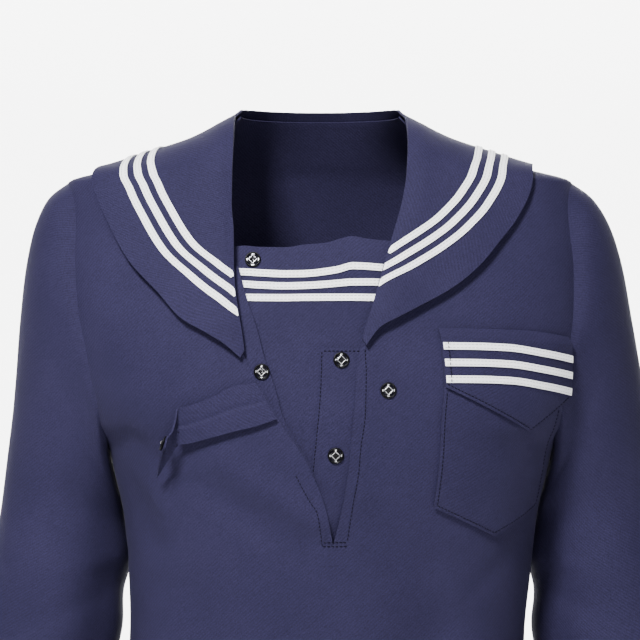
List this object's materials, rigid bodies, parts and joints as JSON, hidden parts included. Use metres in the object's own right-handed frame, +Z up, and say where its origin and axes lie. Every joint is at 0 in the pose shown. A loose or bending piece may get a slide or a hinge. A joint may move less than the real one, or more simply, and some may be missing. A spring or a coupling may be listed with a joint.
{
  "type": "sailor jumper",
  "caption": "Long-sleeved navy twill jumper with a taped square sailor collar, a studded front slit over a taped chest panel, a scarf tab and a pointed flap pocket.",
  "frame": {"origin": "midway between the two neck points at shoulder height, where the wearer's shoulders hold the jumper", "axes": "+X towards the wearer's left, front facing -Y, +Z up"},
  "size_m": [0.62, 0.2382, 0.639],
  "materials": {
    "navy_twill": "matt navy gabardine with a fine diagonal twill",
    "white_tape": "plain white woven tape",
    "black_metal": "black enamelled press studs with worn bright edges"
  },
  "bodies": {
    "root": {"front": "navy_twill", "back": "navy_twill", "sleeve_left": "navy_twill", "sleeve_right": "navy_twill", "collar": "navy_twill", "chest_panel": "navy_twill", "edge_facing": "navy_twill", "underlap": "navy_twill", "pocket": "navy_twill", "pocket_flap": "navy_twill", "scarf_tab": "navy_twill", "collar_tape_1": "white_tape", "collar_tape_2": "white_tape", "collar_tape_3": "white_tape", "chest_tape_1": "white_tape", "chest_tape_2": "white_tape", "chest_tape_3": "white_tape", "flap_tape_1": "white_tape", "flap_tape_2": "white_tape", "flap_tape_3": "white_tape", "stud_chest": "black_metal", "stud_facing": "black_metal", "stud_underlap_top": "black_metal", "stud_underlap_low": "black_metal", "stud_front": "black_metal", "stud_tab": "black_metal"}
  },
  "joints": []
}
